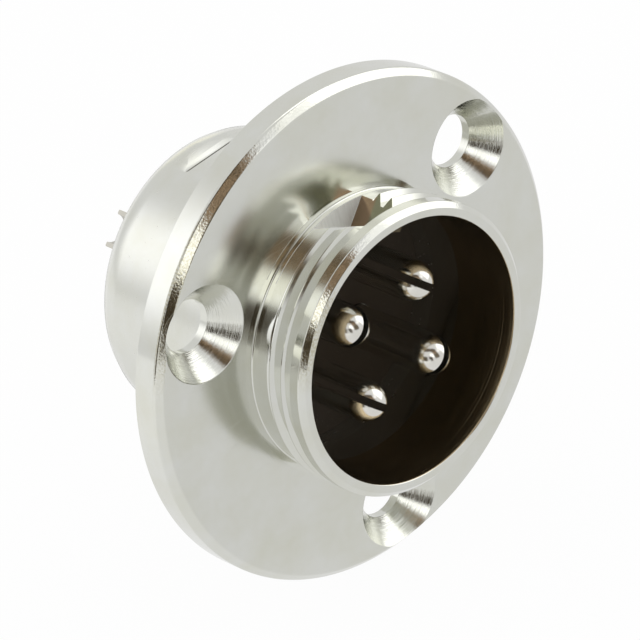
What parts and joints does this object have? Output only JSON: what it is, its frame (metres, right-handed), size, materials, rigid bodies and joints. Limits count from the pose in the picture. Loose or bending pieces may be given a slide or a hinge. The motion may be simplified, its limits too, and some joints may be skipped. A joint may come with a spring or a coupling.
{
  "type": "receptacle connector",
  "caption": "Round-flange panel receptacle: threaded coupling barrel with an internal key round slotted dome pins, cylindrical rear body with solder cups.",
  "frame": {"origin": "on the connector axis, in the rear face of the flange, which seats on the panel", "axes": "-Y along the connector axis towards the mating plug, +Z through the polarising key, +X to the right seen from the mating side"},
  "size_m": [0.032, 0.0233, 0.032],
  "materials": {
    "nickel_plate": "bright nickel plate over turned brass",
    "moulded_insulator": "moulded black-brown thermoset",
    "contact_plate": "silver plate over turned brass"
  },
  "bodies": {
    "root": {"shell": "nickel_plate", "front_insulator": "moulded_insulator", "rear_insulator": "moulded_insulator", "contact_1": "contact_plate", "contact_2": "contact_plate", "contact_3": "contact_plate", "contact_4": "contact_plate"}
  },
  "joints": []
}
